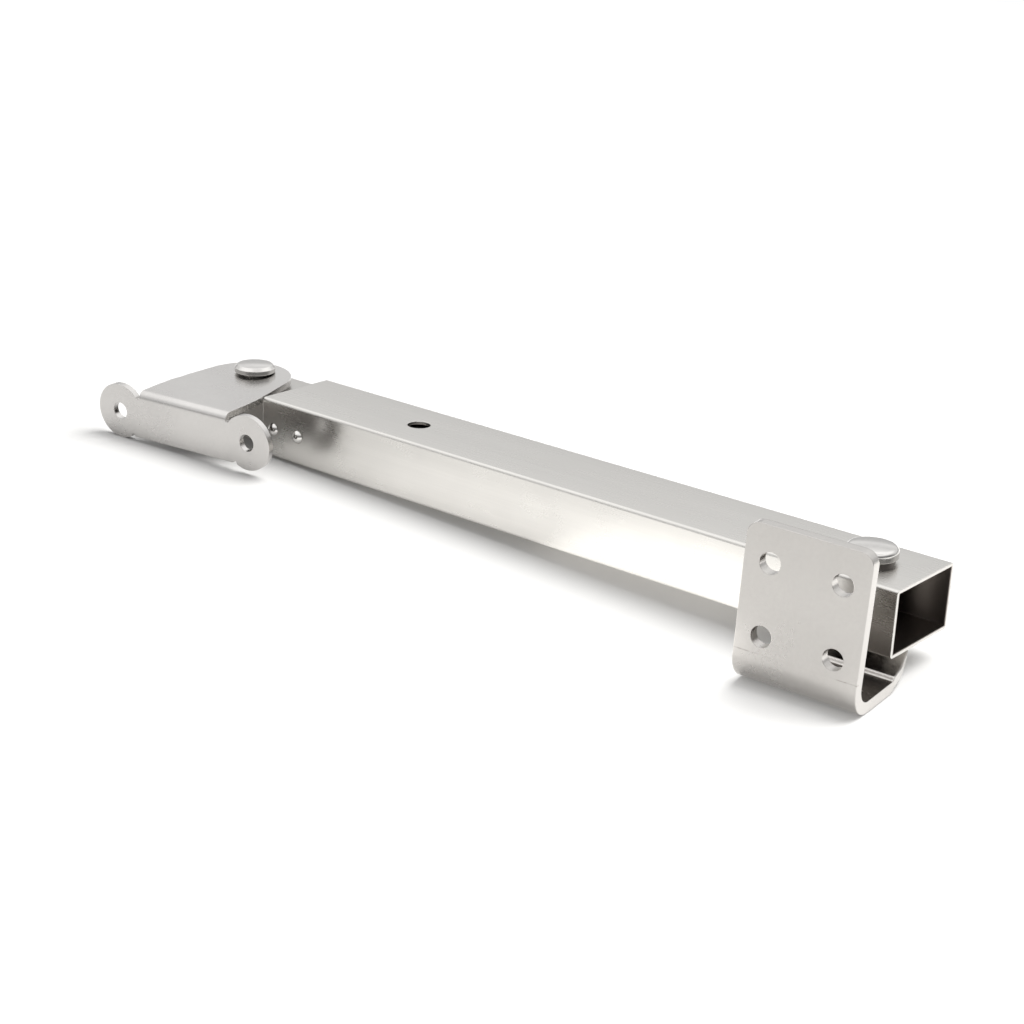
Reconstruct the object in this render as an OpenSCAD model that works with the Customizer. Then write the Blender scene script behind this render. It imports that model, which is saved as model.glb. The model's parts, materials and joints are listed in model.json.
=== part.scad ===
// Telescopic lid stay: two rectangular tubes that slide, a lock button inside, and a folded
// bracket on a riveted pivot pin at each end. Shown closed, all sizes in millimetres.
// X runs along the wall to the open tube end, Y away from the wall, Z up the base bracket's plate.
// The origin is the centre of the base bracket's four holes, on the face that meets the wall.
// The stay is drawn straight and level, then swung and leaned on its base pin, as on a table.

/* [Outer tube] */
// Length of the outer tube
tube_length = 224; // [180:1:400]
// Width of the outer tube, across the stay
tube_width = 29; // [27:0.5:31]
// Height of the outer tube
tube_height = 18.5; // [17:0.5:24]
// Wall of both tubes
tube_wall = 1; // [0.8:0.1:1.2]
// Outside radius of the tube corners
tube_corner = 1; // [1:0.1:2]
// Diameter of the lock hole in the top of the outer tube
lock_hole_d = 7; // [6.8:0.1:8]
// Distance of the lock hole from the tube's mouth
lock_hole_from_mouth = 52; // [48:1:60]
// Distance of the base pin from the tube's mouth
base_pin_from_mouth = 208; // [170:1:380]

/* [Inner tube] */
// Gap between the tubes on each side, filled by the guide and the shoe
tube_gap = 1; // [0.9:0.1:1.4]
// How far the inner tube pulls out
travel = 138; // [100:1:290]
// Distance of the lid pin from the outer tube's mouth, closed
lid_pin_from_mouth = 18.6; // [18.6:0.2:30]
// Length of the inner tube beyond the lid pin
inner_nose = 10.9; // [9:0.1:14]

/* [Base bracket] */
// Sheet of the base bracket
base_sheet = 3.2; // [2.8:0.1:3.3]
// Width of the base bracket's plate
base_width = 33.7; // [30:0.1:45]
// Height of the plate's top edge above the middle of the holes
base_top = 19.4; // [16:0.1:26]
// Distance between the base bracket's holes, along the stay
base_pitch_x = 19.5; // [16:0.5:26]
// Distance between the base bracket's holes, up the plate
base_pitch_z = 19.5; // [16:0.5:26]
// Diameter of the base bracket's holes
base_hole_d = 5.7; // [4.5:0.1:6.5]
// Radius of the plate's top corners
base_corner = 3.5; // [1:0.5:6]
// Inside radius of the large bend
base_bend = 5.5; // [3:0.5:7]
// Distance of the base pin from the wall
base_reach = 41.4; // [38:0.1:60]
// How far the tongue steps up below the tube
base_step = 1; // [1:0.1:1.5]
// Radius of the tongue's round end
base_nose = 13.8; // [12:0.1:14]

/* [Lid bracket] */
// Sheet of the lid bracket
lid_sheet = 2; // [1.5:0.1:2.5]
// Distance of the lid pin from the lid
lid_reach = 35.6; // [34:0.1:50]
// Distance between the lid bracket's two holes
lid_pitch = 51; // [48:0.2:60]
// Diameter of the lid bracket's holes
lid_hole_d = 5.4; // [4.5:0.1:6.5]
// Radius of the round ears
ear_r = 8.75; // [8.2:0.05:10]
// Height of the band between the ears
band_height = 15; // [12:0.5:17]
// Width of the folded tongue
tongue_width = 35; // [33:0.2:35]
// Radius of the tongue's round end
tongue_nose = 14.8; // [13:0.2:14.8]

/* [How it lies] */
// Swing of the stay on its base pin
stay_swing = 5.4; // [0:0.1:35]
// Lean of the stay in the play of its base pin
stay_lean = 1.95; // [0:0.05:1.95]
// Swing of the lid bracket on its pin
lid_swing = 6.7; // [0:0.1:6.7]
// Lean of the lid bracket in the play of its pin
lid_lean = 3.2; // [0:0.1:3.3]

/* [Pins] */
// Diameter of the base pin's shank
base_pin_d = 8; // [7:0.5:9]
// Diameter of the base pin's domed head
base_head_d = 13.8; // [12:0.1:16]
// Diameter of the lid pin's shank
lid_pin_d = 7; // [6:0.5:8]
// Diameter of the lid pin's bevelled head
lid_head_d = 13; // [11:0.1:15]

/* [Hidden] */
$fn = 72;
// Underside of the straight stay, below the middle of the base bracket's holes
tube_bottom = -17.7;
tube_top = tube_bottom + tube_height;
mouth_x = -base_pin_from_mouth;
open_end_x = mouth_x + tube_length;
lid_pin_x = mouth_x - lid_pin_from_mouth;

// Play between parts that slide or turn on each other, per side
slide_play = 0.1;
tongue_gap = 0.1;
rivet_gap = 0.02;
face_play = 0.05;

inner_width = tube_width - 2*tube_wall - 2*tube_gap;
inner_height = tube_height - 2*tube_wall - 2*tube_gap;
inner_bottom = tube_bottom + tube_wall + tube_gap;
inner_top = inner_bottom + inner_height;
inner_left = lid_pin_x - inner_nose;
bore_middle_z = tube_bottom + tube_height/2;

// Lock mechanism near the hidden end of the inner tube
button_x = mouth_x + lock_hole_from_mouth + travel;
inner_right = button_x + 10;
button_d = 6.6;
button_flange_d = 8.8;
button_flange_h = 1.2;
button_lift = 1.6;
button_top = tube_top - tube_wall - face_play;
block_left = button_x - 25;
block_right = inner_right - 0.5;
block_rivet_x = button_x - 18;
block_rivet_d = 3;
block_rivet_head_d = 5;
spring_seat = inner_bottom + tube_wall + 2;
spring_wire = 0.9;
spring_coil_r = 3.3;
spring_turns = 4.5;

// Guides
guide_length = 19;
guide_recess = 0.6;
shoe_left = mouth_x + guide_recess + guide_length + travel + 0.4;

// Rivets that hold the guide in the mouth
rivet_steps = [4.5, 15];
rivet_z = tube_bottom + 9;
rivet_head_d = 4.2;
rivet_head_h = 1.3;
rivet_shank_d = 2.4;

// Base bracket: foot_bottom is its lowest face
foot_bottom = tube_bottom - 7.1;
foot_top = foot_bottom + base_sheet;
step_angle = 50;
step_bend = 0.4;
step_y = base_reach - 18.3;
taper_y = base_reach - 17;
base_nose_y = base_reach - 5.5;
tongue_top = foot_top + base_step;
pivot_z = tongue_top - base_sheet/2;
spacer_bottom = tongue_top + 0.3;
spacer_d = 14;
thrust_washer_h = 0.8;
head_washer_h = 1.2;
head_washer_d = 12.4;
base_bush_d = 11;
base_head_z = tube_top + head_washer_h;
base_tail_d = 10;
base_tail_h = 0.6;
base_tail_top = tongue_top - base_sheet - 0.2;

// Lid bracket, drawn upright round its pin and then swung and leaned
lid_tongue_top = tube_bottom + 19.65;
lid_pivot_z = lid_tongue_top - lid_sheet/2;
lid_bend = 0.6;
lid_nose_y = -5.3;
ear_z = tube_bottom + 11.85;
notch = 0.5;
lid_washer_h = 0.6;
lid_washer_d = 11;
lid_bush_d = 10;
lid_head_z = lid_tongue_top + 0.4;
lid_tail_washer_h = 0.4;
lid_tail_h = 0.8;

steel = [0.78, 0.77, 0.75];
polished = [0.84, 0.83, 0.81];
nylon = [0.16, 0.16, 0.17];
spring_steel = [0.45, 0.46, 0.48];

// Points of an arc from angle a0 to a1
function arc(r, a0, a1, steps) =
    [for (i = [0:steps]) let (a = a0 + (a1 - a0)*i/steps) [r*cos(a), r*sin(a)]];

// Rectangle with true round corners, centred
module round_rectangle(w, h, r) {
    square([w - 2*r, h], center = true);
    square([w, h - 2*r], center = true);
    for (sx = [-1, 1], sy = [-1, 1])
        translate([sx*(w/2 - r), sy*(h/2 - r)])
            circle(r);
}

// Rectangular pipe along X from x0 to x1, round the middle line of the stay
module pipe(x0, x1, w, h, wall, r) {
    translate([x0, base_reach, bore_middle_z])
        rotate([90, 0, 90])
            linear_extrude(x1 - x0)
                difference() {
                    round_rectangle(w, h, r);
                    round_rectangle(w - 2*wall, h - 2*wall, max(r - wall, 0.3));
                }
}

// Upright cylinder from z0 to z1
module post(x, y, z0, z1, d) {
    translate([x, y, z0])
        cylinder(h = z1 - z0, d = d);
}

// Flat ring from z0 to z1
module ring(x, y, z0, z1, d, bore) {
    difference() {
        post(x, y, z0, z1, d);
        post(x, y, z0 - 1, z1 + 1, bore);
    }
}

// Round hole or bar along Y
module cross_bar(x, y0, y1, z, d) {
    translate([x, y1, z])
        rotate([90, 0, 0])
            cylinder(h = y1 - y0, d = d);
}

// Quarter of a bent sheet seen from the side, right of and below the middle of the bend
module quarter_bend(r, t) {
    intersection() {
        difference() {
            circle(r + t);
            circle(r);
        }
        translate([0, -r - t])
            square(r + t);
    }
}

// Side view of the base bracket's step and tongue: a shallow pressed step with small bends,
// then flat below the tube
module base_step_profile() {
    slope = (base_step - 2*step_bend*(1 - cos(step_angle)))/sin(step_angle);
    second_y = step_y + 2*step_bend*sin(step_angle) + slope*cos(step_angle);
    first = [step_y, foot_top + step_bend];
    second = [second_y, tongue_top - step_bend];
    top = concat([[step_y - 1, foot_top]],
                 [for (p = arc(step_bend, -90, step_angle - 90, 8)) first + p],
                 [for (p = arc(step_bend, step_angle + 90, 90, 8)) second + p],
                 [[2*base_reach, tongue_top]]);
    polygon(concat([for (p = top) p - [0, base_sheet]], [for (i = [len(top) - 1:-1:0]) top[i]]));
}

// Side view of the base bracket: plate, large bend, foot, step and tongue
module base_fold() {
    outer_r = base_bend + base_sheet;
    translate([0, foot_bottom + outer_r])
        square([base_sheet, base_top - foot_bottom - outer_r]);
    translate([outer_r, foot_bottom + outer_r])
        mirror([1, 0])
            quarter_bend(base_bend, base_sheet);
    translate([outer_r, foot_bottom])
        square([step_y - outer_r, base_sheet]);
    base_step_profile();
}

// Plan of a bracket: corner points up the right side, the same mirrored, and the round end
// that the sides run into
module tongue_plan(side_points, nose_r, nose_y) {
    from_nose = side_points[len(side_points) - 1] - [0, nose_y];
    tangent = acos(nose_r/norm(from_nose)) + atan2(from_nose[1], from_nose[0]);
    right = concat(side_points, [[nose_r*cos(tangent), nose_y + nose_r*sin(tangent)]]);
    translate([0, nose_y])
        circle(nose_r);
    polygon(concat(right, [for (i = [len(right) - 1:-1:0]) [-right[i][0], right[i][1]]]));
}

// Front view of the base bracket, with round top corners
module base_front() {
    depth = base_top - foot_bottom + 2*base_corner;
    translate([0, base_top - depth/2])
        round_rectangle(base_width, depth, base_corner);
}

module base_bracket() {
    color(steel)
        difference() {
            intersection() {
                translate([-base_width/2, 0, 0])
                    rotate([90, 0, 90])
                        linear_extrude(base_width)
                            base_fold();
                translate([0, 0, foot_bottom - 1])
                    linear_extrude(base_top - foot_bottom + 2)
                        tongue_plan([[base_width/2, -1], [base_width/2, taper_y],
                                     [base_width/2 - 0.95, taper_y + 6],
                                     [base_width/2 - 2.35, taper_y + 10.8]], base_nose, base_nose_y);
                translate([0, 2*base_reach, 0])
                    rotate([90, 0, 0])
                        linear_extrude(3*base_reach)
                            base_front();
            }
            for (sx = [-1, 1], sz = [-1, 1])
                cross_bar(sx*base_pitch_x/2, -1, base_sheet + 1, sz*base_pitch_z/2, base_hole_d);
            post(0, base_reach, foot_bottom - 1, tongue_top + 1, base_pin_d + 2*tongue_gap);
        }
}

// Low domed head with a soft shoulder, standing on z = 0
module domed_head(d, h, shoulder) {
    r = d/2;
    rim = 0.3;
    crown = h*0.1;
    crown_r = (pow(r - shoulder, 2) + pow(crown, 2))/(2*crown);
    shoulder_z = h - crown - shoulder;
    shoulder_arc = [for (p = arc(shoulder, 0, 70, 8)) [r - shoulder + p[0], shoulder_z + p[1]]];
    crown_end = asin((r - shoulder)*0.92/crown_r);
    crown_arc = [for (p = arc(crown_r, 90 - crown_end, 90, 8)) [max(p[0], 0), h - crown_r + p[1]]];
    rotate_extrude()
        polygon(concat([[0, 0], [r - rim, 0], [r, rim]], shoulder_arc, crown_arc));
}

// Flat head with a bevelled rim and a slightly crowned top, standing on z = 0
module bevelled_head(d, h) {
    r = d/2;
    bevel = h*0.34;
    crown = h*0.1;
    flat_r = r - bevel;
    crown_r = (pow(flat_r, 2) + pow(crown, 2))/(2*crown);
    crown_end = asin(flat_r/crown_r);
    crown_arc = [for (p = arc(crown_r, 90 - crown_end, 90, 8)) [max(p[0], 0), h - crown_r + p[1]]];
    rotate_extrude()
        polygon(concat([[0, 0], [r - 0.25, 0], [r, 0.25], [r, h - crown - bevel]], crown_arc));
}

// Places a part of the straight stay as it lies, swung and leaned on the base pin
module laid() {
    translate([0, base_reach, pivot_z])
        rotate([0, 0, -stay_swing])
            rotate([0, -stay_lean, 0])
                translate([0, -base_reach, -pivot_z])
                    children();
}

module base_pin() {
    color(polished) laid()
        translate([0, base_reach, 0]) {
            translate([0, 0, base_head_z])
                domed_head(base_head_d, 3.5, 1.4);
            post(0, 0, base_tail_top - base_tail_h/2, base_head_z, base_pin_d);
            translate([0, 0, base_tail_top - base_tail_h])
                cylinder(h = base_tail_h, d1 = base_tail_d - 1, d2 = base_tail_d);
        }
}

module base_head_washer() {
    color(steel) laid()
        ring(0, base_reach, tube_top, base_head_z, head_washer_d, base_pin_d + 2*rivet_gap);
}

module base_spacer() {
    color(steel) laid()
        ring(0, base_reach, spacer_bottom + thrust_washer_h, tube_bottom,
             spacer_d, base_pin_d + 2*rivet_gap);
}

module base_thrust_washer() {
    color(nylon) laid()
        ring(0, base_reach, spacer_bottom, spacer_bottom + thrust_washer_h,
             spacer_d, base_pin_d + 2*rivet_gap);
}

module outer_tube() {
    color(steel) laid()
        difference() {
            pipe(mouth_x, open_end_x, tube_width, tube_height, tube_wall, tube_corner);
            post(mouth_x + lock_hole_from_mouth, base_reach, bore_middle_z, tube_top + 1, lock_hole_d);
            post(0, base_reach, tube_bottom - 1, tube_top + 1, base_bush_d + 2*rivet_gap);
            for (step = rivet_steps)
                cross_bar(mouth_x + step, 0, 2*base_reach, rivet_z, rivet_shank_d + 2*rivet_gap);
        }
}

module base_bush() {
    color(polished) laid()
        ring(0, base_reach, tube_bottom, tube_top, base_bush_d, base_pin_d + 2*rivet_gap);
}

module mouth_guide() {
    bore_w = tube_width - 2*tube_wall;
    bore_h = tube_height - 2*tube_wall;
    wall = tube_gap - slide_play;
    color(nylon) laid()
        difference() {
            pipe(mouth_x + guide_recess, mouth_x + guide_recess + guide_length, bore_w, bore_h, wall, 0.3);
            for (step = rivet_steps)
                for (side = [-1, 1])
                    cross_bar(mouth_x + step, base_reach + side*(bore_w/2 - 0.35) - 0.4,
                              base_reach + side*(bore_w/2 - 0.35) + 0.4, rivet_z, rivet_shank_d + 2*rivet_gap);
        }
}

// One rivet with a round head, lying along +Y into the tube wall from the face at y = 0
module guide_rivet() {
    cap_r = (pow(rivet_head_d/2, 2) + pow(rivet_head_h, 2))/(2*rivet_head_h);
    half = asin(rivet_head_d/2/cap_r);
    cap = [for (p = arc(cap_r, 90 - half, 90, 10)) [max(p[0], 0), rivet_head_h - cap_r + p[1]]];
    rotate([90, 0, 0]) {
        rotate_extrude()
            polygon(concat([[0, 0]], cap));
        translate([0, 0, -tube_wall - 0.7])
            cylinder(h = tube_wall + 0.7, d = rivet_shank_d);
    }
}

module guide_rivets() {
    color(polished) laid()
        for (step = rivet_steps)
            for (side = [0, 1])
                translate([mouth_x + step, base_reach, rivet_z])
                    rotate([0, 0, 180*side])
                        translate([0, -tube_width/2, 0])
                            guide_rivet();
}

module inner_tube() {
    color(steel) laid()
        difference() {
            pipe(inner_left, inner_right, inner_width, inner_height, tube_wall, tube_corner);
            post(lid_pin_x, base_reach, inner_bottom - 1, inner_top + 1, lid_pin_d + 2*rivet_gap);
            post(button_x, base_reach, bore_middle_z, inner_top + 1, button_d + 2*slide_play);
            cross_bar(block_rivet_x, 0, 2*base_reach, bore_middle_z, block_rivet_d + 2*rivet_gap);
        }
}

module rear_shoe() {
    shoe_w = tube_width - 2*tube_wall - 2*slide_play;
    shoe_h = tube_height - 2*tube_wall - 2*slide_play;
    color(nylon) laid()
        difference() {
            pipe(shoe_left, inner_right, shoe_w, shoe_h, tube_gap - slide_play, tube_corner);
            post(button_x, base_reach, bore_middle_z, tube_top, button_d + 1.4);
            cross_bar(block_rivet_x, 0, 2*base_reach, bore_middle_z, block_rivet_head_d + 0.2);
        }
}

module lock_block() {
    w = inner_width - 2*tube_wall - slide_play;
    h = inner_height - 2*tube_wall - slide_play;
    color(nylon) laid()
        difference() {
            translate([block_left, base_reach, bore_middle_z])
                rotate([90, 0, 90])
                    linear_extrude(block_right - block_left)
                        round_rectangle(w, h, 0.5);
            post(button_x, base_reach, spring_seat, inner_top, button_flange_d + 2*slide_play);
            cross_bar(block_rivet_x, 0, 2*base_reach, bore_middle_z, block_rivet_d + 2*rivet_gap);
        }
}

module block_rivet() {
    color(polished) laid() {
        cross_bar(block_rivet_x, base_reach - inner_width/2, base_reach + inner_width/2,
                  bore_middle_z, block_rivet_d);
        for (side = [-1, 1])
            cross_bar(block_rivet_x, base_reach + side*(inner_width/2 + 0.35) - 0.35,
                      base_reach + side*(inner_width/2 + 0.35) + 0.35, bore_middle_z, block_rivet_head_d);
    }
}

module lock_button() {
    flange_top = inner_top - tube_wall - button_lift;
    color(polished) laid()
        translate([button_x, base_reach, 0])
            rotate_extrude()
                polygon([[0, flange_top - button_flange_h], [button_flange_d/2, flange_top - button_flange_h],
                         [button_flange_d/2, flange_top], [button_d/2, flange_top],
                         [button_d/2, button_top - 0.8], [button_d/2 - 0.8, button_top], [0, button_top]]);
}

// Round wire wound in a helix, swept as rings of eight points
module button_spring() {
    flange_bottom = inner_top - tube_wall - button_lift - button_flange_h;
    low = spring_seat + spring_wire/2 + 0.02;
    high = flange_bottom - spring_wire/2 - 0.02;
    turn_steps = 20;
    sides = 8;
    steps = spring_turns*turn_steps;
    points = [for (i = [0:steps])
        let (turn = 360*i/turn_steps, z = low + (high - low)*i/steps)
            for (j = [0:sides - 1])
                let (a = 360*j/sides, r = spring_coil_r + spring_wire/2*cos(a))
                    [r*cos(turn), r*sin(turn), z + spring_wire/2*sin(a)]];
    walls = [for (i = [0:steps - 1], j = [0:sides - 1])
        let (k = (j + 1)%sides)
            [i*sides + j, i*sides + k, (i + 1)*sides + k, (i + 1)*sides + j]];
    first_end = [for (j = [sides - 1:-1:0]) j];
    last_end = [for (j = [0:sides - 1]) steps*sides + j];
    color(spring_steel) laid()
        translate([button_x, base_reach, 0])
            polyhedron(points, concat(walls, [first_end, last_end]));
}

module lid_pin() {
    color(polished) laid()
        translate([lid_pin_x, base_reach, 0]) {
            translate([0, 0, lid_head_z])
                bevelled_head(lid_head_d, 2.7);
            post(0, 0, inner_bottom - lid_tail_washer_h - lid_tail_h/2, lid_head_z, lid_pin_d);
            translate([0, 0, inner_bottom - lid_tail_washer_h - lid_tail_h])
                cylinder(h = lid_tail_h, d1 = lid_pin_d + 1, d2 = lid_pin_d + 2.4);
        }
}

module lid_bush() {
    color(polished) laid()
        ring(lid_pin_x, base_reach, inner_bottom + tube_wall, inner_top - tube_wall,
             lid_bush_d, lid_pin_d + 2*rivet_gap);
}

module lid_washer() {
    color(nylon) laid()
        ring(lid_pin_x, base_reach, inner_top, inner_top + lid_washer_h, lid_washer_d, lid_pin_d + 2*rivet_gap);
}

module lid_tail_washer() {
    color(polished) laid()
        ring(lid_pin_x, base_reach, inner_bottom - lid_tail_washer_h, inner_bottom,
             lid_washer_d, lid_pin_d + 2*rivet_gap);
}

// Side view of the lid bracket: the band's upper part, the fold and the tongue
module lid_fold() {
    outer_r = lid_bend + lid_sheet;
    translate([-lid_reach, ear_z])
        square([lid_sheet, lid_tongue_top - outer_r - ear_z]);
    translate([-lid_reach + outer_r, lid_tongue_top - outer_r])
        rotate(180)
            quarter_bend(lid_bend, lid_sheet);
    translate([-lid_reach + outer_r, lid_tongue_top - lid_sheet])
        square([2*lid_reach, lid_sheet]);
}

// Plan of the lid bracket's tongue round its pin; it narrows to clear the outer tube's mouth
module lid_plan() {
    side = tongue_width/2;
    tongue_plan([[side - 0.1, -lid_reach - 1], [side, -26], [side - 0.2, -20], [side - 0.85, -16.6],
                 [side - 1.05, -14.5], [side - 1.4, -12]], tongue_nose, lid_nose_y);
}

// Front view of the band with its round ears, ends of the fold relieved by small notches
module lid_front() {
    fold_start = lid_tongue_top - lid_bend - lid_sheet;
    waist = lid_pitch/2 - sqrt(pow(ear_r, 2) - pow(band_height/2, 2));
    difference() {
        union() {
            for (side = [-1, 1])
                translate([side*lid_pitch/2, ear_z])
                    circle(ear_r);
            translate([-lid_pitch/2, ear_z - band_height/2])
                square([lid_pitch, fold_start - ear_z + band_height/2]);
        }
        for (side = [-1, 1])
            translate([side*lid_pitch/2, ear_z])
                circle(d = lid_hole_d);
        translate([-tongue_width/2 - notch, fold_start])
            square([tongue_width + 2*notch, 2*ear_r]);
        for (side = [-1, 1])
            translate([side*(waist - 0.4), ear_z - band_height/2])
                circle(0.8);
    }
}

module lid_bracket() {
    color(steel) laid()
        translate([lid_pin_x, base_reach, lid_pivot_z])
            rotate([0, 0, lid_swing])
                rotate([lid_lean, 0, 0])
                    translate([0, 0, -lid_pivot_z])
                        difference() {
                            union() {
                                translate([0, -lid_reach + lid_sheet, 0])
                                    rotate([90, 0, 0])
                                        linear_extrude(lid_sheet)
                                            lid_front();
                                intersection() {
                                    translate([-tongue_width/2, 0, 0])
                                        rotate([90, 0, 90])
                                            linear_extrude(tongue_width)
                                                lid_fold();
                                    translate([0, 0, ear_z])
                                        linear_extrude(lid_reach)
                                            lid_plan();
                                }
                            }
                            post(0, 0, ear_z, lid_tongue_top + 1, lid_pin_d + 2*tongue_gap);
                        }
}

base_bracket();
base_pin();
base_head_washer();
base_thrust_washer();
base_spacer();
outer_tube();
base_bush();
mouth_guide();
guide_rivets();
inner_tube();
rear_shoe();
lock_block();
block_rivet();
lid_pin();
lid_bush();
lid_washer();
lid_tail_washer();
lock_button();
button_spring();
lid_bracket();
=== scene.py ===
import json
import math

import bmesh
import bpy
from mathutils import Matrix, Vector


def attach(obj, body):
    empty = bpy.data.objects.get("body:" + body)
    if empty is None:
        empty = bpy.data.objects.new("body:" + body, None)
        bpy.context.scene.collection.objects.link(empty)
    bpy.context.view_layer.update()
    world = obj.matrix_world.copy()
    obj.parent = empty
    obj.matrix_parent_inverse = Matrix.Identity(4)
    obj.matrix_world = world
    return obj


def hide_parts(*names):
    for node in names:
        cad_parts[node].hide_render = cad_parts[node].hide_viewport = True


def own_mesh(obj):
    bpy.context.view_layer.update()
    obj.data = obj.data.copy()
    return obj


# Looks for the telescopic lid stay: steel finishes, softened sheet edges, table, room, lamp and camera.
# Everything is in metres in the CAD frame, with +X towards the open tube end and -Y towards the wall.
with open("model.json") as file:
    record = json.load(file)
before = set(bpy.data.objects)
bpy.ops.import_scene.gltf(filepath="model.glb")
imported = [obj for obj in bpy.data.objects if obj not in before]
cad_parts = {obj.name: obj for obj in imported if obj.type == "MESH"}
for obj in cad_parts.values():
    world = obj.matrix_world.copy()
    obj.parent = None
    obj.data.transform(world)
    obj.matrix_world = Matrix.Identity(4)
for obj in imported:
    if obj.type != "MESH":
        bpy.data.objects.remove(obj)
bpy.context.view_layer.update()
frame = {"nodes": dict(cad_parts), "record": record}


# Short ways to build shaders. A value may be a plain one or a socket that gives it.
def newMaterial(name):
    material = bpy.data.materials.new(name)
    material.use_nodes = True
    material.node_tree.nodes.clear()
    return material, material.node_tree


def add(tree, kind, **settings):
    made = tree.nodes.new(kind)
    for key, value in settings.items():
        setattr(made, key, value)
    return made


def feed(tree, made, **inputs):
    # Inputs go by name, with _ for a space, or by number as n0 and n1.
    for key, value in inputs.items():
        byNumber = key[0] == "n" and key[1:].isdigit()
        socket = made.inputs[int(key[1:]) if byNumber else key.replace("_", " ")]
        if isinstance(value, bpy.types.NodeSocket):
            tree.links.new(value, socket)
        else:
            socket.default_value = value
    return made


def maths(tree, operation, a, b=0.0, clamp=False):
    made = add(tree, "ShaderNodeMath", operation=operation, use_clamp=clamp)
    return feed(tree, made, n0=a, n1=b).outputs[0]


def product(tree, result, *others):
    for other in others:
        result = maths(tree, "MULTIPLY", result, other)
    return result


def spread(tree, value, low, high, toLow, toHigh):
    made = add(tree, "ShaderNodeMapRange")
    return feed(tree, made, Value=value, From_Min=low, From_Max=high, To_Min=toLow, To_Max=toHigh).outputs[0]


even = (1, 1, 1)  # no stretch: the same along X, Y and Z


def noise(tree, place, stretch, scale, detail):
    moved = feed(tree, add(tree, "ShaderNodeMapping"), Vector=place, Scale=stretch)
    made = feed(tree, add(tree, "ShaderNodeTexNoise"), Vector=moved.outputs[0], Scale=scale, Detail=detail)
    return made.outputs["Fac"]


def opaque(colour):
    return tuple(colour) + (1,)


def mixColour(tree, share, a, b, blend="MIX"):
    made = add(tree, "ShaderNodeMix", data_type="RGBA", blend_type=blend)
    return feed(tree, made, n0=share, n6=a, n7=b).outputs[2]


def brightnessRamp(tree, value, pairs):
    # Pairs are a position from 0 to 1 and the brightness there.
    ramp = add(tree, "ShaderNodeValToRGB")
    stops = ramp.color_ramp.elements
    stops.remove(stops[1])
    for number, (position, brightness) in enumerate(pairs):
        stop = stops[0] if number == 0 else stops.new(position)
        stop.position, stop.color = position, opaque((brightness,)*3)
    tree.links.new(value, ramp.inputs[0])
    return ramp.outputs[0]


def objectPlace(tree):
    return add(tree, "ShaderNodeTexCoord").outputs["Object"]


def xyzOf(tree, vector):
    return feed(tree, add(tree, "ShaderNodeSeparateXYZ"), Vector=vector).outputs


def trueFacing(tree):
    return xyzOf(tree, add(tree, "ShaderNodeNewGeometry").outputs["True Normal"])


def showWith(tree, shader, output="ShaderNodeOutputMaterial"):
    tree.links.new(shader.outputs[0], add(tree, output).inputs[0])


def newObject(name, data):
    made = bpy.data.objects.new(name, data)
    bpy.context.scene.collection.objects.link(made)
    return made


# Point that the stay swings on, how it lies, and the middle line of the tubes above that point.
# Brush marks and the bore, with its painted shade, follow the tube.
lie = {"pivot": (0, 0.0414, -0.0222), "turn": (0, -1.95, -5.4), "middle": 0.01375}


def alongStay(tree):
    place = objectPlace(tree)
    moved = feed(tree, add(tree, "ShaderNodeVectorMath", operation="SUBTRACT"), n0=place, n1=lie["pivot"])
    turned = add(tree, "ShaderNodeVectorRotate", rotation_type="EULER_XYZ", invert=True)
    feed(tree, turned, Vector=moved.outputs[0], Rotation=tuple(math.radians(a) for a in lie["turn"]))
    return place, turned.outputs[0]


# Walls of a tube's bore: rougher for the dull mill finish, and darker in colour, which is painted shade in the
# deep bore.
def boreShadeAndMillMask(tree, stayPlace, bore):
    along = xyzOf(tree, stayPlace)
    across = maths(tree, "LESS_THAN", maths(tree, "ABSOLUTE", along[1]), bore["wide"])
    up = maths(tree, "ABSOLUTE", maths(tree, "SUBTRACT", along[2], lie["middle"]))
    return product(tree, across, maths(tree, "LESS_THAN", up, bore["high"]))


# Inner faces of the folded base bracket, between the plate and the tube, get a darker colour: painted shade.
def insideMask(tree, place, inside):
    facing = trueFacing(tree)
    within = maths(tree, "GREATER_THAN", xyzOf(tree, place)[1], inside["from"])
    back = maths(tree, "GREATER_THAN", facing[1], -inside["slack"])
    top = maths(tree, "GREATER_THAN", facing[2], -inside["slack"])
    notAtTheSides = maths(tree, "LESS_THAN", maths(tree, "ABSOLUTE", facing[0]), inside["sideways"])
    return product(tree, within, back, top, notAtTheSides)


# Back of the lid bracket's band and the underside of its tongue, which get a darker colour: painted shade.
def backShadeMask(tree, back):
    facing = trueFacing(tree)
    behind = maths(tree, "GREATER_THAN", facing[1], back["facing"])
    return maths(tree, "MAXIMUM", behind, maths(tree, "LESS_THAN", facing[2], -back["facing"]))


# Faint line that the bending die left across the plate, clearest near both sides.
def dieMark(tree, place, line):
    at = xyzOf(tree, place)
    off = maths(tree, "ABSOLUTE", maths(tree, "SUBTRACT", at[2], line["height"]))
    thin = spread(tree, off, *line["width"], 1.0, 0.0)
    sides = spread(tree, maths(tree, "ABSOLUTE", at[0]), *line["sides"], line["middleShare"], 1.0)
    front = maths(tree, "LESS_THAN", at[1], line["front"])
    broken = spread(tree, noise(tree, place, *line["breakMarks"]), *line["breaks"])
    return product(tree, thin, sides, front, broken)


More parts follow.
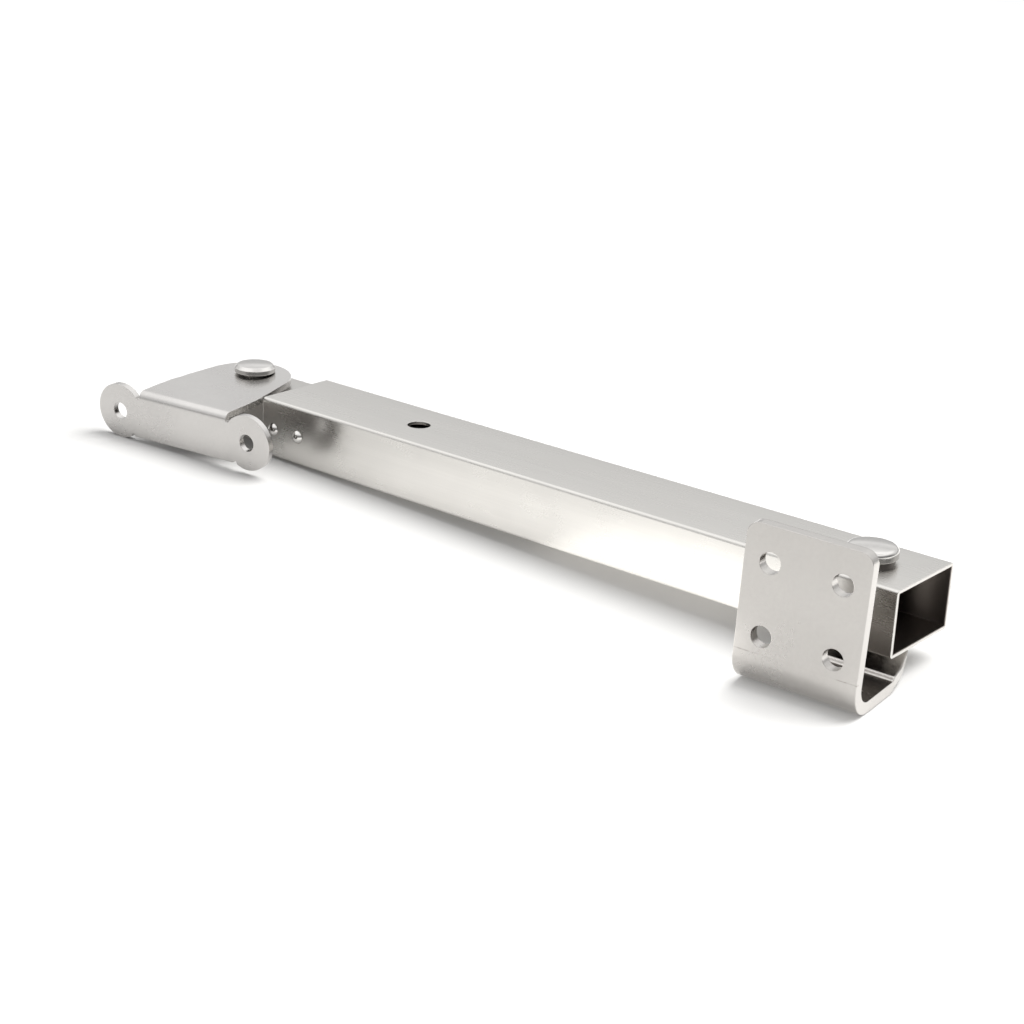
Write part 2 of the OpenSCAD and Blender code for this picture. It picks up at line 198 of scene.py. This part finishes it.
# What all the steels share. Marks are stretch, scale and detail; the broad streaks' stretch and scale
# are shares of the steel's own grain. Ranges are the part of a noise that counts, edgeTurn is how far
# a normal turns at an edge, and depth is that of the bump in metres.
wear = {"fine": (even, 2600.0, 2.0), "smudge": ((1, 1.4, 1), 42.0, 4.0), "speckle": (even, 900.0, 2.0),
        "streakDetail": 3.0, "broadStretch": 0.4, "broadScale": 0.3, "broadDetail": 2.0,
        "streakRange": (0.3, 0.7), "smudgeRough": (0.4, 0.7), "smudgeStain": (0.35, 0.75),
        "speckleRange": (0.35, 0.65), "edgeRays": 6, "edgeTurn": (0.995, 0.86), "depth": 0.0001}


def steelMarks(tree, place, stayPlace, look):
    drawn = tuple(wear["broadStretch"]*g if g < 1 else g for g in look["grain"])
    marks = {name: noise(tree, place, *wear[name]) for name in ("fine", "smudge", "speckle")}
    marks["streaks"] = noise(tree, stayPlace, look["grain"], look["grainScale"], wear["streakDetail"])
    marks["broad"] = noise(tree, stayPlace, drawn, look["grainScale"]*wear["broadScale"], wear["broadDetail"])
    return marks


# Rounded normal at the edges of a piece, and 1 where it turns. There the edges are smoother, as handling has
# polished them, and lighter in colour, which is a painted highlight.
def edgeHighlightAndPolish(tree, place, look):
    radius = look["edge"]
    if "wideEdge" in look:
        wide = look["wideEdge"]
        reach = xyzOf(tree, place)[1]
        radius = spread(tree, reach, wide["from"] - wide["fade"], wide["from"], look["edge"], wide["radius"])
    rounded = feed(tree, add(tree, "ShaderNodeBevel", samples=wear["edgeRays"]), Radius=radius).outputs[0]
    flat = add(tree, "ShaderNodeNewGeometry").outputs["Normal"]
    turned = feed(tree, add(tree, "ShaderNodeVectorMath", operation="DOT_PRODUCT"), n0=rounded, n1=flat)
    return rounded, spread(tree, turned.outputs["Value"], *wear["edgeTurn"], 0.0, 1.0)


def steelColour(tree, place, marks, edge, look):
    streaks, smudge = marks["streaks"], marks["smudge"]
    tone = product(tree, spread(tree, streaks, *wear["streakRange"], 1.0 - look["tonePlay"], 1.0),
                   spread(tree, marks["broad"], *wear["streakRange"], 1.0 - look["tonePlay"], 1.0),
                   spread(tree, smudge, *wear["smudgeStain"], 1.0, 1.0 - look["stain"]),
                   spread(tree, marks["speckle"], *wear["speckleRange"], 1.0 - look["speckle"], 1.0))
    colour = mixColour(tree, 1.0, opaque(look["colour"]), tone, "MULTIPLY")
    # Painted shade: the base bracket's inner faces get a darker colour.
    if "inside" in look:
        inside = look["inside"]
        colour = mixColour(tree, insideMask(tree, place, inside), colour, opaque(inside["colour"]))
    # Painted shade: the lid bracket's back faces get a darker colour.
    if "back" in look:
        back = look["back"]
        colour = mixColour(tree, backShadeMask(tree, back), colour, opaque(back["colour"]))
    # Edges get a lighter colour: painted highlight.
    highlightColour = opaque(min(1.0, c*look["edgeHighlight"]) for c in look["colour"])
    return mixColour(tree, edge, colour, highlightColour)


def steelRoughness(tree, marks, edge, look):
    play = spread(tree, marks["streaks"], *wear["streakRange"], -look["roughPlay"], look["roughPlay"])
    rough = maths(tree, "ADD", look["rough"], play)
    rough = maths(tree, "ADD", rough, spread(tree, marks["smudge"], *wear["smudgeRough"], 0.0, look["smudge"]))
    return maths(tree, "SUBTRACT", rough, product(tree, edge, look["edgePolish"]), clamp=True)


# One steel. grain is how far the brush marks are drawn out along X, Y and Z; marks and pits are
# how deep the brushing and the fine pits are.
def steel(name, look):
    material, tree = newMaterial(name)
    place, stayPlace = alongStay(tree)
    marks = steelMarks(tree, place, stayPlace, look)
    rounded, edge = edgeHighlightAndPolish(tree, place, look)
    rough = steelRoughness(tree, marks, edge, look)
    colour = steelColour(tree, place, marks, edge, look)
    height = maths(tree, "ADD", product(tree, marks["streaks"], look["marks"]),
                   product(tree, marks["fine"], look["pits"]))
    if "bore" in look:
        bore = boreShadeAndMillMask(tree, stayPlace, look["bore"])
        # The bore's darker colour is painted shade; its added roughness is the mill finish.
        colour = mixColour(tree, bore, colour, opaque(look["bore"]["colour"]))
        rough = maths(tree, "ADD", rough, product(tree, bore, look["bore"]["rough"]))
    if "dieLine" in look:
        line = look["dieLine"]
        score = dieMark(tree, place, line)
        colour = mixColour(tree, product(tree, score, line["strength"]), colour, opaque(line["colour"]))
        height = maths(tree, "SUBTRACT", height, product(tree, score, line["depth"]))
    bump = feed(tree, add(tree, "ShaderNodeBump"), Height=height, Strength=look["bump"],
                Distance=wear["depth"], Normal=rounded)
    shader = feed(tree, add(tree, "ShaderNodeBsdfPrincipled"), Base_Color=colour, Metallic=1.0,
                  Roughness=rough, Normal=bump.outputs[0])
    if "brush" in look:
        along = add(tree, "ShaderNodeTangent", direction_type="RADIAL", axis=look["brush"]["axis"])
        shader.inputs["Anisotropic"].default_value = look["brush"]["anisotropy"]
        tree.links.new(along.outputs[0], shader.inputs["Tangent"])
    showWith(tree, shader)
    return material


def nylon(name, look):
    material, tree = newMaterial(name)
    grain = noise(tree, objectPlace(tree), *look["grain"])
    lighter = opaque(c*look["grainLight"] for c in look["colour"])
    rough = spread(tree, grain, *look["grainRange"], *look["rough"])
    bump = feed(tree, add(tree, "ShaderNodeBump"), Height=grain, Strength=look["bump"], Distance=look["depth"])
    shader = feed(tree, add(tree, "ShaderNodeBsdfPrincipled"), Roughness=rough, Normal=bump.outputs[0],
                  Base_Color=mixColour(tree, grain, opaque(look["colour"]), lighter))
    showWith(tree, shader)
    return material


finishes = {
    "tube": {"colour": (0.645, 0.63, 0.603), "rough": 0.26, "roughPlay": 0.01, "smudge": 0.05,
             "grain": (0.006, 1, 1), "grainScale": 3600.0, "marks": 1.0, "pits": 0.05, "bump": 0.006,
             "tonePlay": 0.028, "stain": 0.03, "speckle": 0.0,
             "edge": 0.0004, "edgePolish": 0.06, "edgeHighlight": 1.15,
             "brush": {"axis": "X", "anisotropy": 0.6},
             # The bore colour is painted shade.
             "bore": {"wide": 0.0137, "high": 0.0084, "colour": (0.30, 0.27, 0.25), "rough": 0.1}},
    "innerTube": {"colour": (0.60, 0.585, 0.56), "rough": 0.28, "roughPlay": 0.01, "smudge": 0.05,
                  "grain": (0.006, 1, 1), "grainScale": 3600.0, "marks": 1.0, "pits": 0.05, "bump": 0.006,
                  "tonePlay": 0.028, "stain": 0.03, "speckle": 0.0,
                  "edge": 0.0003, "edgePolish": 0.06, "edgeHighlight": 1.1,
                  "brush": {"axis": "X", "anisotropy": 0.6},
                  # The bore colour is painted shade.
                  "bore": {"wide": 0.0117, "high": 0.0065, "colour": (0.30, 0.27, 0.25), "rough": 0.1}},
    "plate": {"colour": (0.595, 0.575, 0.552), "rough": 0.24, "roughPlay": 0.01, "smudge": 0.04,
              "grain": (1, 1, 0.6), "grainScale": 620.0, "marks": 0.3, "pits": 0.0, "bump": 0.004,
              "tonePlay": 0.01, "stain": 0.04, "speckle": 0.03,
              "edge": 0.00025, "edgePolish": 0.05, "edgeHighlight": 1.05,
              # Past y = from the edges are rounded wider, with a wider painted highlight.
              "wideEdge": {"from": 0.0236, "fade": 0.0006, "radius": 0.0009},
              # Darker colour on the inner faces: painted shade.
              "inside": {"from": 0.0031, "slack": 0.05, "sideways": 0.1, "colour": (0.26, 0.24, 0.222)},
              "dieLine": {"height": -0.0145, "width": (0.00004, 0.00022), "sides": (0.0095, 0.0125),
                          "middleShare": 0.1, "front": 0.001, "breakMarks": (even, 700.0, 2.0),
                          "breaks": (0.35, 0.6, 0.2, 1.0), "colour": (0.2, 0.17, 0.15),
                          "strength": 0.55, "depth": 2.0}},
    "lid": {"colour": (0.59, 0.575, 0.56), "rough": 0.24, "roughPlay": 0.01, "smudge": 0.04,
            "grain": (0.5, 1, 1), "grainScale": 620.0, "marks": 0.3, "pits": 0.0, "bump": 0.004,
            "tonePlay": 0.01, "stain": 0.05, "speckle": 0.03,
            "edge": 0.0002, "edgePolish": 0.04, "edgeHighlight": 1.05,
            # Darker colour on the back faces: painted shade.
            "back": {"facing": 0.9, "colour": (0.30, 0.28, 0.265)}},
    # The spacer and the head washer sit in shade between parts; their very dark colour is painted shade.
    "shadedCollar": {"colour": (0.18, 0.165, 0.155), "rough": 0.25, "roughPlay": 0.03, "smudge": 0.05,
               "grain": even, "grainScale": 900.0, "marks": 0.3, "pits": 0.3, "bump": 0.05,
               "tonePlay": 0.03, "stain": 0.05, "speckle": 0.02,
               "edge": 0.0002, "edgePolish": 0.03, "edgeHighlight": 1.05},
    "pin": {"colour": (0.67, 0.655, 0.635), "rough": 0.13, "roughPlay": 0.02, "smudge": 0.04,
            "grain": even, "grainScale": 900.0, "marks": 0.2, "pits": 0.2, "bump": 0.03,
            "tonePlay": 0.03, "stain": 0.05, "speckle": 0.02,
            "edge": 0.0003, "edgePolish": 0.03, "edgeHighlight": 1.1},
    "spring": {"colour": (0.42, 0.42, 0.43), "rough": 0.30, "roughPlay": 0.05, "smudge": 0.05,
               "grain": even, "grainScale": 900.0, "marks": 0.5, "pits": 0.4, "bump": 0.10,
               "tonePlay": 0.05, "stain": 0.05, "speckle": 0.02,
               "edge": 0.0001, "edgePolish": 0.03, "edgeHighlight": 1.1},
}
blackNylon = {"colour": (0.03, 0.03, 0.032), "grain": (even, 1800.0, 3.0), "grainRange": (0.3, 0.7),
              "grainLight": 1.5, "rough": (0.40, 0.53), "bump": 0.25, "depth": 0.00005}
materials = {name: steel(name + "Steel", look) for name, look in finishes.items()}
materials["nylon"] = nylon("blackNylon", blackNylon)
print("made", len(materials), "materials")


# Pieces. bevel is the rounding of the edges in metres; with 0 there is only smooth shading.
pieces = {
    "outer_tube": {"finish": "tube", "bevel": 0.00012, "slot": "stainless"},
    "inner_tube": {"finish": "innerTube", "bevel": 0.00012, "slot": "stainless"},
    "base_bracket": {"finish": "plate", "bevel": 0.00025, "slot": "stainless"},
    "lid_bracket": {"finish": "lid", "bevel": 0.0002, "slot": "stainless"},
    "base_spacer": {"finish": "shadedCollar", "bevel": 0.0002, "slot": "stainless"},
    "base_pin": {"finish": "pin", "bevel": 0, "slot": "polished"},
    "lid_pin": {"finish": "pin", "bevel": 0, "slot": "polished"},
    "guide_rivets": {"finish": "pin", "bevel": 0, "slot": "polished"},
    "base_bush": {"finish": "pin", "bevel": 0, "slot": "polished"},
    "lid_bush": {"finish": "pin", "bevel": 0, "slot": "polished"},
    "block_rivet": {"finish": "pin", "bevel": 0, "slot": "polished"},
    "lid_tail_washer": {"finish": "pin", "bevel": 0, "slot": "polished"},
    "lock_button": {"finish": "pin", "bevel": 0, "slot": "polished"},
    "button_spring": {"finish": "spring", "bevel": 0, "slot": "spring_steel"},
    "base_head_washer": {"finish": "shadedCollar", "bevel": 0, "slot": "stainless"},
    "base_thrust_washer": {"finish": "nylon", "bevel": 0, "slot": "nylon"},
    "mouth_guide": {"finish": "nylon", "bevel": 0, "slot": "nylon"},
    "rear_shoe": {"finish": "nylon", "bevel": 0, "slot": "nylon"},
    "lock_block": {"finish": "nylon", "bevel": 0, "slot": "nylon"},
    "lid_washer": {"finish": "nylon", "bevel": 0, "slot": "nylon"},
}
bodyOf = {node: body for body, nodes in frame["record"]["behaviour"]["bodies"].items() for node in nodes}


# Round holes, cut again with fine cylinders through the sheet's middle, reach metres long.
holes = {
    "base_bracket": {"halfPitch": 0.00975, "middle": 0.0016, "radius": 0.00286, "reach": 0.0052, "sides": 72},
}


def cutRound(mesh, look):
    rough = newObject("rough", mesh)
    turn = Vector((0, 1, 0)).to_track_quat("Z", "X").to_matrix().to_4x4()
    spots = (-look["halfPitch"], look["halfPitch"])
    cutters = []
    for centre in [(x, look["middle"], z) for x in spots for z in spots]:
        work = bmesh.new()
        bmesh.ops.create_cone(work, cap_ends=True, segments=look["sides"], depth=look["reach"],
                              radius1=look["radius"], radius2=look["radius"],
                              matrix=Matrix.Translation(centre) @ turn)
        tool = bpy.data.meshes.new("cutter")
        work.to_mesh(tool)
        work.free()
        cutter = newObject("cutter", tool)
        cut = rough.modifiers.new("hole", "BOOLEAN")
        cut.operation, cut.solver, cut.object = "DIFFERENCE", "EXACT", cutter
        cutters.append(cutter)
    bpy.context.view_layer.update()
    made = bpy.data.meshes.new_from_object(rough.evaluated_get(bpy.context.evaluated_depsgraph_get()))
    for spare in cutters + [rough]:
        bpy.data.objects.remove(spare)
    return made


# How the copies are smoothed: points closer than join metres become one, faces that turn by less than
# flat degrees become one face, and edges from sharp degrees up are kept. open is the angle, in
# radians, taken for an edge with only one face.
smoothing = {"join": 2e-6, "flat": 0.4, "sharp": 28, "open": 3.0, "steps": 2}


def joinFlat(work):
    flat = math.radians(smoothing["flat"])
    bmesh.ops.dissolve_limit(work, angle_limit=flat, verts=work.verts, edges=work.edges)


# Smooth copy of a node. Flat pieces get their edges rounded by width, round ones only smooth shading.
def softened(node, width):
    sharp = math.radians(smoothing["sharp"])
    mesh = frame["nodes"][node].data.copy()
    work = bmesh.new()
    work.from_mesh(mesh)
    bmesh.ops.remove_doubles(work, verts=work.verts, dist=smoothing["join"])
    if width:
        joinFlat(work)
    if node in holes:
        work.to_mesh(mesh)
        mesh = cutRound(mesh, holes[node])
        work.clear()
        work.from_mesh(mesh)
        joinFlat(work)
    for face in work.faces:
        face.smooth = True
    for seam in work.edges:
        seam.smooth = seam.calc_face_angle(smoothing["open"]) < sharp
    work.to_mesh(mesh)
    work.free()
    piece = newObject(node + "_soft", mesh)
    if width:
        bevel = piece.modifiers.new("edges", "BEVEL")
        bevel.width, bevel.segments, bevel.limit_method = width, smoothing["steps"], "ANGLE"
        bevel.angle_limit = sharp
        bevel.harden_normals = True
    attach(piece, bodyOf[node])
    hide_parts(node)
    return piece


dressed = {node: softened(node, look["bevel"]) for node, look in pieces.items()}
for node, look in pieces.items():
    dressed[node].data.materials.clear()
    dressed[node].data.materials.append(materials[look["finish"]])
print("dressed", len(pieces), "pieces")


def pressSpring(spring):
    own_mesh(spring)


pressSpring(dressed["button_spring"])


# Table, just below the lid bracket's left ear; the base bracket's foot stands on it too.
# lift is how much lighter the camera sees it near the stay; from plainFrom to plainTo metres away it
# turns plain white. The foot patch, before the plate, glows more: painted light over its shadow, which is thin
# there.
# Steel mirrors a strip of it that glows only in reflections, a painted reflection, which fades in along
# shineY: shine is X and the extra light.
table = {"level": -0.02505, "size": 3.0, "white": 0.70, "tint": (1, 0.99, 0.97), "middle": (-0.1, 0, 0),
         "lift": 0.05, "plainFrom": 0.28, "plainTo": 0.7,
         "shine": ((-0.2, 0.08), (-0.18, 0.2), (-0.165, 0.36), (-0.125, 0.41), (-0.105, 0.43),
                   (-0.096, 1.0), (-0.035, 1.0), (-0.022, 0.0)),
         "shineY": (-0.035, -0.015),
         # footShine is another patch that glows only in reflections: painted reflection.
         "footShine": {"x": (-0.045, -0.03), "y": (-0.035, -0.018), "amount": 0.26},
         "paintedFootLight": {"x": (-0.055, -0.03), "y": (0.012, -0.004), "amount": 0.3}}


def patch(tree, place, look):
    return product(tree, spread(tree, place[0], *look["x"], 0.0, 1.0),
                   spread(tree, place[1], *look["y"], 0.0, look["amount"]))


def paintedTableReflection(tree, place, look):
    left, right = look["shine"][0][0], look["shine"][-1][0]
    pairs = [((x - left)/(right - left), light) for x, light in look["shine"]]
    strip = brightnessRamp(tree, spread(tree, place[0], left, right, 0.0, 1.0), pairs)
    depth = spread(tree, place[1], *look["shineY"], 0.0, 1.0)
    return maths(tree, "ADD", product(tree, strip, depth), patch(tree, place, look["footShine"]))


def tableWhite(look):
    material, tree = newMaterial("tableWhite")
    spot = objectPlace(tree)
    place = xyzOf(tree, spot)
    paths = add(tree, "ShaderNodeLightPath").outputs
    apart = feed(tree, add(tree, "ShaderNodeVectorMath", operation="DISTANCE"), n0=spot, n1=look["middle"])
    plain = spread(tree, apart.outputs["Value"], look["plainFrom"], look["plainTo"], look["lift"], 1.0)
    # The foot patch's glow is painted light over the table's shadow.
    lifted = maths(tree, "ADD", plain, patch(tree, place, look["paintedFootLight"]))
    seen = product(tree, paths["Is Camera Ray"], lifted)
    # Glow seen only in reflections: painted reflection.
    mirrored = product(tree, paths["Is Glossy Ray"], paintedTableReflection(tree, place, look))
    white = feed(tree, add(tree, "ShaderNodeBsdfDiffuse"), Color=opaque((look["white"],)*3))
    glow = feed(tree, add(tree, "ShaderNodeEmission"), Color=opaque(look["tint"]),
                Strength=maths(tree, "ADD", seen, mirrored))
    showWith(tree, feed(tree, add(tree, "ShaderNodeAddShader"), n0=white.outputs[0], n1=glow.outputs[0]))
    return material


def makeTable(look):
    half = look["size"]/2
    corners = [(-half, -half, 0), (half, -half, 0), (half, half, 0), (-half, half, 0)]
    mesh = bpy.data.meshes.new("table")
    mesh.from_pydata(corners, [], [(0, 1, 2, 3)])
    mesh.materials.append(tableWhite(look))
    top = newObject("table", mesh)
    top.location = (0, 0, look["level"])


makeTable(table)


# Surroundings: pale behind and overhead, dim on the near side. Pairs are height (0 level, 1 overhead)
# and brightness, and fill is their share for all but mirrored light. The camera sees plain white.
room = {"far": (-0.85, 0.53, 0), "turnOver": (-0.6, -0.1), "fill": 0.4,
        "behind": ((0.0, 0.6), (0.25, 0.68), (0.31, 1.12), (0.36, 1.03), (0.42, 0.88), (0.55, 1.2),
                   (0.7, 1.5), (1.0, 1.5)),
        "near": ((0.0, 0.25), (0.42, 0.3), (0.6, 0.9), (0.75, 1.4), (0.86, 1.4), (0.93, 0.5), (1.0, 0.5))}


def makeRoom(look):
    world = bpy.data.worlds.new("room")
    world.use_nodes = True
    bpy.context.scene.world = world
    tree = world.node_tree
    tree.nodes.clear()
    facing = add(tree, "ShaderNodeTexCoord").outputs["Generated"]
    up = xyzOf(tree, facing)[2]
    away = feed(tree, add(tree, "ShaderNodeVectorMath", operation="DOT_PRODUCT"), n0=facing, n1=look["far"])
    side = spread(tree, away.outputs["Value"], *look["turnOver"], 0.0, 1.0)
    near, behind = (brightnessRamp(tree, up, look[name]) for name in ("near", "behind"))
    colour = mixColour(tree, side, near, behind)
    paths = add(tree, "ShaderNodeLightPath").outputs
    strength = spread(tree, paths["Is Glossy Ray"], 0.0, 1.0, look["fill"], 1.0)
    lit = feed(tree, add(tree, "ShaderNodeBackground"), Color=colour, Strength=strength)
    plain = feed(tree, add(tree, "ShaderNodeBackground"), Color=(1, 1, 1, 1), Strength=1.0)
    both = feed(tree, add(tree, "ShaderNodeMixShader"), n0=paths["Is Camera Ray"],
                n1=lit.outputs[0], n2=plain.outputs[0])
    showWith(tree, both, "ShaderNodeOutputWorld")


makeRoom(room)


# One broad lamp overhead, behind and to the right, for the soft shadow before the stay.
lamp = {"from": (0.15, 0.35, 0.85), "to": (-0.1, 0.03, 0), "size": 0.9, "power": 15.8,
        "colour": (1, 0.99, 0.97)}


def hangLamp(look):
    light = bpy.data.lights.new("overheadLamp", "AREA")
    light.shape, light.size, light.energy, light.color = "SQUARE", look["size"], look["power"], look["colour"]
    hung = newObject("overheadLamp", light)
    hung.location = look["from"]
    hung.visible_glossy = False  # flat steel facets don't mirror it as a white patch
    hung.rotation_mode = "QUATERNION"
    hung.rotation_quaternion = (Vector(look["to"]) - Vector(look["from"])).to_track_quat("-Z", "Y")


hangLamp(lamp)
print("set the table, the room and the lamp")


# Camera, as fitted to the photograph: a long lens, from the right and a little above, with a slight
# roll. Angles are in degrees, the lens and the sensor in millimetres.
shot = {"place": (0.188118, -0.427474, 0.196777), "turn": 32.546, "height": 20.957, "roll": 4.344,
        "lens": 73.065, "sensor": 36.0, "near": 0.01, "far": 20.0}


def makeCamera(look):
    turn, height, roll = (math.radians(look[key]) for key in ("turn", "height", "roll"))
    back = Vector((math.sin(turn)*math.cos(height), -math.cos(turn)*math.cos(height), math.sin(height)))
    right = Vector((math.cos(turn), math.sin(turn), 0))
    up = back.cross(right)
    across = math.cos(roll)*right + math.sin(roll)*up
    upright = math.cos(roll)*up - math.sin(roll)*right
    data = bpy.data.cameras.new("camera")
    data.lens, data.sensor_width = look["lens"], look["sensor"]
    data.clip_start, data.clip_end = look["near"], look["far"]
    camera = newObject("camera", data)
    turned = Matrix((across, upright, back)).transposed().to_4x4()
    camera.matrix_world = Matrix.Translation(look["place"]) @ turned
    bpy.context.scene.camera = camera


makeCamera(shot)
bpy.context.scene.view_settings.view_transform = "Standard"
